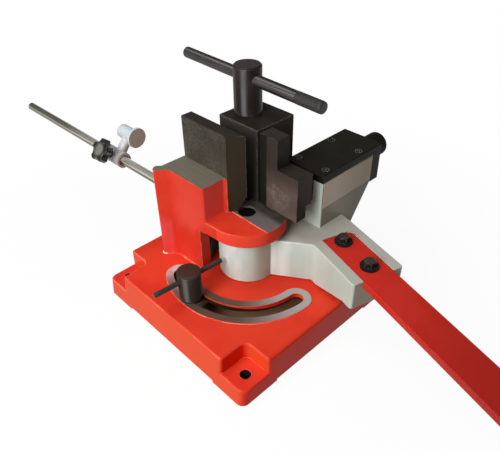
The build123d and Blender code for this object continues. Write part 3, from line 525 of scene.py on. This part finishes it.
def ground_plate():
    """Black oxide on the fixed plate: speckled grey on its broad faces, browner on its bevel."""
    material, tree, shader = start("ground_plate")
    speckle = spread(tree, cloud(tree, 380, 3), 0.35, 0.7)
    smudge = spread(tree, cloud(tree, 26, 4), 0.35, 0.7, 0.0, 0.6)
    broad = blend(tree, speckle, "403B34", "575149")
    broad = blend(tree, smudge, broad, "37322A")
    bevel = blend(tree, cloud(tree, 60, 3, (1, 1, 0.15)), "29241B", "3A3327")
    face = maths(tree, "GREATER_THAN", maths(tree, "ABSOLUTE", facing(tree)[1]), PLATE_FRONT)
    # painted light: the broad faces grow a little lighter towards the plate's foot
    plate_light = spread(tree, axes(tree)[2], *PLATE_LIGHT_Z, 0.0, PLATE_LIGHT_SHARE)
    color = blend(tree, face, bevel, blend(tree, plate_light, broad, "6E665C"))
    color = blend(tree, upward(tree), color, "302B27")
    color = blend(tree, edge_wear_and_glint(tree, 0.5 * MM, 90), color, "8A847B")
    settle(tree, shader, color=color, roughness=0.48, specular=0.06,
           normal=bump(tree, speckle, 0.03 * MM, 0.3))
    return material


def black_block():
    """Black oxide on the clamp block, its sides painted lighter than its top to stand in for the shade
    they lie in, its edges bright grey with wear.
    """
    material, tree, shader = start("black_block")
    lines = cloud(tree, 500, 2, (1, 1, 0.04))
    # painted light: the sides are lighter than the top to stand in for the shade they lie in
    sides = blend(tree, spread(tree, lines, 0.35, 0.65), "3A3731", "3F3B35")
    smudge = spread(tree, cloud(tree, 40, 4), 0.35, 0.7)
    top = blend(tree, smudge, "24221D", "2F2B27")
    color = blend(tree, upward(tree), sides, top)
    color = blend(tree, edge_wear_and_glint(tree, 0.6 * MM, 60, 0.3, 0.5), color, "A9A298")
    settle(tree, shader, color=color, roughness=0.42, specular=0.05,
           normal=bump(tree, lines, 0.03 * MM, 0.3))
    return material


def turned_black(name, axis, flank, dark, light, shine, grip=None):
    """Black oxide on a turned piece: lathe lines that lean along its axis, and a duller grip if any."""
    material, tree, shader = start(name)
    along = axes(tree)["XYZ".index(axis)]
    saw = maths(tree, "FRACT", maths(tree, "DIVIDE", along, LATHE_PITCH))
    lines = maths(tree, "MULTIPLY", saw, -flank)
    smudge = spread(tree, cloud(tree, 35, 4), 0.3, 0.7)
    color = blend(tree, smudge, dark, light)
    color = blend(tree, edge_wear_and_glint(tree, 0.6 * MM, 60), color, "8E8A86")
    rough = spread(tree, smudge, 0, 1, *TURNED_ROUGH)
    if grip:
        held = maths(tree, "GREATER_THAN", along, grip)
        color = blend(tree, held, color, blend(tree, smudge, "14110E", "211D19"))
        rough = maths(tree, "ADD", rough, maths(tree, "MULTIPLY", held, GRIP_ROUGH))
        lines = maths(tree, "MULTIPLY", lines, maths(tree, "SUBTRACT", 1.0, held))
    settle(tree, shader, color=color, roughness=rough, specular=shine,
           normal=bump(tree, lines, LATHE_PITCH))
    return material


def cut_jaw():
    """Black oxide gone brown-grey with wear, with the rings of a fly cutter on the jaw's front, darker
    towards its top, and the plate's shadow painted on its left strip.
    """
    material, tree, shader = start("cut_jaw")
    x, y, z = axes(tree)
    across = maths(tree, "SUBTRACT", x, SWIRL_AT[0])
    reach = radius(tree, across, maths(tree, "SUBTRACT", z, SWIRL_AT[1]))
    wander = maths(tree, "MULTIPLY", cloud(tree, 60, 3), SWIRL_WANDER)
    turns = maths(tree, "MULTIPLY", reach, 2 * math.pi / SWIRL_PITCH)
    rings = maths(tree, "SINE", maths(tree, "ADD", turns, wander))
    front = maths(tree, "COMPARE", y, JAW_FACE_Y, FLUSH)
    near = spread(tree, reach, *SWIRL_FADE)
    cut = both(tree, rings, front, near)
    smudge = spread(tree, cloud(tree, 45, 4), 0.3, 0.7)
    plain = blend(tree, smudge, "2E2A23", "36312A")
    wear_and_painted_light = blend(tree, smudge, "564A43", "655850")
    # darker towards the top of the jaw
    wear_and_painted_light = blend(tree, spread(tree, z, *JAW_FINGER_Z), wear_and_painted_light, "38322D")
    # painted shadow: the plate's shadow on the left strip of the jaw's face
    wear_and_painted_light = blend(tree, maths(tree, "LESS_THAN", x, JAW_SHADE_X), wear_and_painted_light, "211F1A")
    color = blend(tree, front, plain, wear_and_painted_light)
    color = blend(tree, spread(tree, cut, 0, 1, 0, 0.2), color, "8A7C75")
    scratched = spread(tree, cloud(tree, 140, 4), 0.45, 0.7, 0.0, 0.5)
    scoured = both(tree, front, spread(tree, reach, *SWIRL_SCOUR), scratched)
    color = blend(tree, scoured, color, "8E8178")
    color = blend(tree, edge_wear_and_glint(tree, 0.5 * MM, 90), color, "857B72")
    settle(tree, shader, color=color, roughness=0.45, specular=0.08,
           normal=bump(tree, cut, 0.04 * MM, 0.3))
    return material


def drawn_steel(name, dark, light, roughness, stretch=(1, 1, 1), metallic=1.0, dull=None):
    """Bright steel with drawing lines; given a dull colour, it darkens towards its far end and its
    underside takes that colour as a painted reflection of a dark floor.
    """
    material, tree, shader = start(name)
    lines = cloud(tree, 500, 2, stretch)
    smudge = cloud(tree, 30, 3)
    color = blend(tree, spread(tree, lines, 0.3, 0.7), dark, light)
    if dull:
        # darker towards the rod's far end
        darker_end = maths(tree, "MULTIPLY", spread(tree, axes(tree)[0], *ROD_DARKER_X), ROD_DARKER)
        # painted reflection: the underside is darkened as if it mirrored a dark floor
        dark_underside = spread(tree, facing(tree)[2], *ROD_BELOW, 0.0, ROD_UNDERSIDE_SHADE)
        color = blend(tree, either(tree, darker_end, dark_underside), color, dull)
    rough = spread(tree, smudge, 0.3, 0.7, *(roughness + change for change in DRAWN_ROUGH))
    settle(tree, shader, color=color, metallic=metallic, roughness=rough,
           normal=bump(tree, lines, 0.02 * MM, 0.25))
    return material


def bearing_bronze():
    material, tree, shader = start("bearing_bronze")
    color = blend(tree, cloud(tree, 90, 3), "B88A4A", "9A7038")
    settle(tree, shader, color=color, metallic=1.0, roughness=0.35)
    return material


def rimmed_black():
    """Black socket screws with a painted highlight on their rims."""
    material, tree, shader = start("cover_screw_heads")
    black = blend(tree, cloud(tree, 80, 3), "1D1C18", "262420")
    # painted highlight on the screws' rims
    color = blend(tree, edge_wear_and_glint(tree, 0.7 * MM, 120, 0.35, 0.55), black, "C4BFB6")
    settle(tree, shader, color=color, roughness=0.4, specular=0.08)
    return material


def bolt_black():
    """Black bolts with a patchy grey highlight painted on the tops of their heads and pale highlights
    painted on their edges.
    """
    material, tree, shader = start("bolt_heads")
    # painted highlight: patchy grey on the tops of the heads
    top = both(tree, upward(tree), maths(tree, "GREATER_THAN", axes(tree)[2], BOLT_TOP - FLUSH))
    top = maths(tree, "MULTIPLY", top, spread(tree, cloud(tree, 160, 3), 0.3, 0.6, 0.3, 0.8))
    black = blend(tree, cloud(tree, 80, 3), "191816", "242220")
    color = blend(tree, top, black, "4A443E")
    # painted highlights along the edges of the heads
    settle(tree, shader, color=blend(tree, edge_wear_and_glint(tree, 0.5 * MM, 120, 0.2, 0.5), color, "9A948C"),
           roughness=0.36, specular=0.2)
    return material


def white_paint():
    """White paint, darker in patches low on the collar that slides along the rod, and with painted shade
    on faces that look right.
    """
    material, tree, shader = start("white_paint")
    mottled = spread(tree, cloud(tree, 40, 3), 0.3, 0.7)
    white = blend(tree, mottled, "D2DDE2", "CFD2D6")
    patchy = spread(tree, cloud(tree, 70, 3), 0.25, 0.6, 0.5, 0.9)
    # darker in patches towards the bottom of the collar
    collar_darkening = both(tree, spread(tree, axes(tree)[2], *COLLAR_DARKER_Z), patchy)
    white = blend(tree, collar_darkening, white, "A89C9C")
    # painted shade: faces that look right are darker and browner
    white = blend(tree, spread(tree, facing(tree)[0], *DISC_RIGHT), white, "BEB0A4")
    settle(tree, shader, color=white, roughness=0.35, specular=0.25,
           normal=bump(tree, cloud(tree, 300, 2), 0.05 * MM, 0.3))
    return material


def moulded_plastic():
    """Black plastic with a grey highlight painted on its middle."""
    material, tree, shader = start("moulded_plastic")
    black = blend(tree, cloud(tree, 50, 2), "1A1912", "24221A")
    # painted highlight: a patchy grey on the middle of the knob
    from_middle = add(tree, "ShaderNodeVectorMath", {0: here(tree), 1: STAR_AT}, operation="DISTANCE")
    middle = spread(tree, from_middle.outputs["Value"], *STAR_HIGHLIGHT)
    knob_highlight = both(tree, middle, spread(tree, cloud(tree, 90, 3), 0.3, 0.6, 0.4, 1.0))
    settle(tree, shader, color=blend(tree, knob_highlight, black, "7C7A74"), roughness=0.28, specular=0.6,
           normal=bump(tree, cloud(tree, 900, 2), 0.04 * MM, 0.3))
    return material


def label_sheet():
    """Brushed bare sheet, with shade painted in towards the back."""
    material, tree, shader = start("label_sheet")
    brushed = cloud(tree, 600, 2, (1, 0.03, 1))
    sheet = blend(tree, brushed, "D0C2B2", "DACDBE")
    # painted shade: the sheet darkens towards the back
    sheet = blend(tree, spread(tree, axes(tree)[1], *SHEET_SHADE_Y), sheet, "AFA18E")
    settle(tree, shader, color=sheet, roughness=0.42, specular=0.2,
           normal=bump(tree, brushed, 0.02 * MM, 0.2))
    return material


# New pieces

def clear_selection():
    for piece in bpy.context.view_layer.objects:
        piece.select_set(False)


def choose_faces(piece, test):
    """Selects, in edit mode, the faces whose centre and normal pass the test."""
    bpy.ops.mesh.select_all(action="DESELECT")
    bpy.ops.object.mode_set(mode="OBJECT")
    for face in piece.data.polygons:
        face.select = test(face.center, face.normal)
    bpy.ops.object.mode_set(mode="EDIT")
    bpy.ops.mesh.select_mode(type="FACE")


def begin(name):
    piece = bpy.context.active_object
    piece.name = name
    bpy.ops.object.mode_set(mode="EDIT")
    return piece


def end(piece, material, body):
    bpy.ops.object.mode_set(mode="OBJECT")
    bpy.ops.object.transform_apply(location=True, rotation=True, scale=True)
    bpy.ops.object.shade_smooth_by_angle(angle=SMOOTH_ANGLE)
    piece.data.materials.clear()
    piece.data.materials.append(material)
    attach(piece, body)
    clear_selection()
    return piece


def knurled_tee_bar(material):
    """The tee bar with chamfered ends and a band of pyramid knurling at its right end."""
    clear_selection()
    sides = round(2 * math.pi * TEE_BAR_RADIUS / GRIP_PITCH)
    bpy.ops.mesh.primitive_cylinder_add(vertices=sides, radius=TEE_BAR_RADIUS, depth=TEE_BAR_LENGTH)
    bar = begin("knurled_tee_bar")
    top = TEE_BAR_LENGTH / 2 - GRIP_END
    rows = round(GRIP_LENGTH / GRIP_PITCH)
    for k in range(rows + 1):
        bpy.ops.mesh.select_all(action="SELECT")
        bpy.ops.mesh.bisect(plane_co=(0, 0, top - k * GRIP_PITCH), plane_no=(0, 0, 1))
    choose_faces(bar, lambda centre, normal: abs(normal.z) > SQUARE_ON)
    bpy.ops.mesh.bevel(offset=TEE_BAR_CHAMFER, segments=3, affect="EDGES")
    choose_faces(bar, lambda centre, normal: (abs(normal.z) < 1 - SQUARE_ON
                                              and top - GRIP_LENGTH < centre.z < top))
    bpy.ops.mesh.poke(offset=GRIP_HEIGHT)
    bpy.ops.object.mode_set(mode="OBJECT")
    bar.rotation_euler = (0, math.pi / 2, TEE_BAR_YAW)
    bar.location = TEE_BAR_AT
    end(bar, material, "spindle")
    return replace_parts(bar, "tee_bar")


def housing_sheet(material):
    """A plain sheet with rounded corners on the right face of the slide housing."""
    clear_selection()
    width = SHEET_Y[1] - SHEET_Y[0]
    height = SHEET_Z[1] - SHEET_Z[0]
    middle = (SHEET_X + SHEET_THICK / 2, sum(SHEET_Y) / 2, sum(SHEET_Z) / 2)
    bpy.ops.mesh.primitive_cube_add(size=1, location=middle, scale=(SHEET_THICK, width, height))
    bpy.ops.object.transform_apply(location=True, rotation=True, scale=True)
    sheet = begin("housing_sheet")
    bpy.ops.mesh.select_mode(type="EDGE")
    bpy.ops.mesh.select_all(action="DESELECT")
    bpy.ops.object.mode_set(mode="OBJECT")
    for edge in sheet.data.edges:
        first, second = (sheet.data.vertices[i].co for i in edge.vertices)
        edge.select = abs(first.x - second.x) > SHEET_THICK / 2
    bpy.ops.object.mode_set(mode="EDIT")
    bpy.ops.mesh.bevel(offset=SHEET_CORNER, segments=4, affect="EDGES")
    choose_faces(sheet, lambda centre, normal: normal.x > SQUARE_ON)
    bpy.ops.mesh.bevel(offset=SHEET_THICK / 3, segments=1, affect="EDGES")
    return end(sheet, material, "swing_arm")


# Stage

def seen_directly(tree):
    """One for the rays that show the backdrop: from the camera, or by way of metal and glass."""
    path = add(tree, "ShaderNodeLightPath").outputs
    return either(tree, path["Is Camera Ray"], path["Is Glossy Ray"], path["Is Transmission Ray"])


def stage_floor():
    clear_selection()
    bpy.ops.mesh.primitive_circle_add(vertices=FLOOR_SIDES, radius=FLOOR_RADIUS, fill_type="NGON",
                                      location=FLOOR_AT)
    floor = bpy.context.active_object
    floor.name = "floor"
    material, tree, shader = start("pale_floor")
    from_camera = add(tree, "ShaderNodeLightPath").outputs["Is Camera Ray"]
    x, y, _ = axes(tree)
    outward = [maths(tree, "ABSOLUTE", length) for length in (x, y)]
    under = both(tree, *(maths(tree, "LESS_THAN", length, HOLLOW_HALF) for length in outward))
    pale = blend(tree, from_camera, "B3B2AF", "FFFFFF")
    # painted shade: the floor seen under the base darkens towards the left
    brown = blend(tree, spread(tree, x, *BROWN_X), "4C3F30", "D8BC92")
    settle(tree, shader, color=blend(tree, under, pale, brown), roughness=0.9, specular=0.0)
    outside = maths(tree, "SUBTRACT", 1.0, under)
    share = spread(tree, radius(tree, x, y), *CLEAR_FROM, NEAR_SHARE, 1.0)
    share = both(tree, share, seen_directly(tree), outside)
    white = add(tree, "ShaderNodeEmission", {"Color": (1, 1, 1, 1), "Strength": 1.0})
    mixed = add(tree, "ShaderNodeMixShader", {0: share, 1: shader.outputs[0], 2: white.outputs[0]})
    tree.links.new(mixed.outputs[0], tree.nodes["Material Output"].inputs["Surface"])
    floor.data.materials.append(material)
    clear_selection()


def studio_world():
    """White towards the horizon where it is seen, a dim ceiling above, and a low even light."""
    world = bpy.data.worlds.new("studio")
    bpy.context.scene.world = world
    world.use_nodes = True
    tree = world.node_tree
    height = split(tree, add(tree, "ShaderNodeTexCoord").outputs["Generated"])[2]
    ceiling = spread(tree, height, *SKY_FADE, 1.0, SKY_CEILING)
    backdrop = either(tree, ceiling, add(tree, "ShaderNodeLightPath").outputs["Is Camera Ray"])
    seen = seen_directly(tree)
    soft = maths(tree, "MULTIPLY", maths(tree, "SUBTRACT", 1.0, seen), SKY_SOFT)
    level = maths(tree, "ADD", maths(tree, "MULTIPLY", seen, backdrop), soft)
    ground = tree.nodes["Background"]
    ground.inputs["Color"].default_value = (1, 1, 1, 1)
    tree.links.new(level, ground.inputs["Strength"])


def soft_lamp(name, place, size, power):
    lamp = bpy.data.lights.new(name, "AREA")
    lamp.shape = "DISK"
    lamp.size = size
    lamp.energy = power
    holder = bpy.data.objects.new(name, lamp)
    bpy.context.scene.collection.objects.link(holder)
    holder.location = place
    holder.rotation_euler = (Vector(AIM) - Vector(place)).to_track_quat("-Z", "Y").to_euler()


def place_camera():
    back = Vector((math.sin(CAMERA_AZIMUTH) * math.cos(CAMERA_ELEVATION),
                   -math.cos(CAMERA_AZIMUTH) * math.cos(CAMERA_ELEVATION), math.sin(CAMERA_ELEVATION)))
    level = Vector((math.cos(CAMERA_AZIMUTH), math.sin(CAMERA_AZIMUTH), 0))
    upright = back.cross(level)
    right = math.cos(CAMERA_ROLL) * level + math.sin(CAMERA_ROLL) * upright
    up = math.cos(CAMERA_ROLL) * upright - math.sin(CAMERA_ROLL) * level
    lens = bpy.data.cameras.new("camera")
    lens.sensor_width = SENSOR_WIDTH
    lens.lens = FOCAL_PIXELS / PICTURE_WIDTH * SENSOR_WIDTH
    camera = bpy.data.objects.new("camera", lens)
    bpy.context.scene.collection.objects.link(camera)
    camera.matrix_world = Matrix.Translation(CAMERA_AT) @ Matrix((right, up, back)).transposed().to_4x4()
    bpy.context.scene.camera = camera


# Dressing the machine

def dress(material, *names):
    for name in names:
        mesh = nodes[name].data
        mesh.materials.clear()
        mesh.materials.append(material)


dress(red_casting(), "base_casting")
dress(lever_paint(), "lever_bar")
dress(grey_casting(), "arm_casting")
dress(ground_plate(), "fixed_jaw_plate")
dress(black_block(), "clamp_block")
dress(turned_black("turned_spindle", "Z", LATHE_FLANK, "221A18", "2D2422", shine=0.32),
      "clamp_spindle", "spindle_washer")
dress(turned_black("turned_nut", "Z", 2 * LATHE_FLANK, "33271F", "3E332B", shine=0.25), "stop_nut")
dress(turned_black("turned_tommy_bar", "Y", -LATHE_FLANK, "2B2823", "37332D", shine=0.25),
      "stop_tommy_bar")
dress(cut_jaw(), "bending_jaw")
dress(blackened("black_cover", "1F1E19", "27251C", roughness=0.42, shine=0.05, wear_and_painted_light="4A4843",
                stretch=(0.05, 1, 1)), "slide_cover", "rear_plate")
dress(blackened("black_knob", "1F1D19", "292620", roughness=0.42, shine=0.08), "adjusting_knob")
dress(rimmed_black(), "cover_screws")
dress(bolt_black(), "lever_bolts")
dress(blackened("black_fasteners", "1B1A19", "2A2826", roughness=0.36, shine=0.2),
      "fixed_jaw_screws", "rear_plate_screws", "lever_washers", "knob_set_screw", "rod_lock_nut",
      "pivot_nut", "pivot_washer", "stop_washer")
dress(drawn_steel("drawn_rod", "D2D0C3", "ECEADE", roughness=0.18, stretch=(0.02, 1, 1), metallic=0.72,
                  dull="5A5345"), "stop_rod", "star_knob_stud")
dress(drawn_steel("ground_steel", "A4A29A", "C9C8C0", roughness=0.3), "thrust_washer", "adjusting_screw",
      "screw_collar", "stop_tee_bolt")
dress(drawn_steel("dark_pin", "3A3833", "4C4943", roughness=0.4), "pivot_pin")
dress(bearing_bronze(), "lower_bush", "upper_bush")
dress(white_paint(), "stop_holder", "stop_button")
dress(moulded_plastic(), "star_knob")

knurled_tee_bar(turned_black("turned_tee_bar", "X", LATHE_FLANK, "221B18", "2D2522", shine=0.6,
                             grip=GRIP_X))
housing_sheet(label_sheet())

stage_floor()
studio_world()
soft_lamp("key", KEY_AT, KEY_SIZE, KEY_POWER)
soft_lamp("top", TOP_AT, TOP_SIZE, TOP_POWER)
place_camera()
bpy.context.scene.view_settings.view_transform = "Standard"
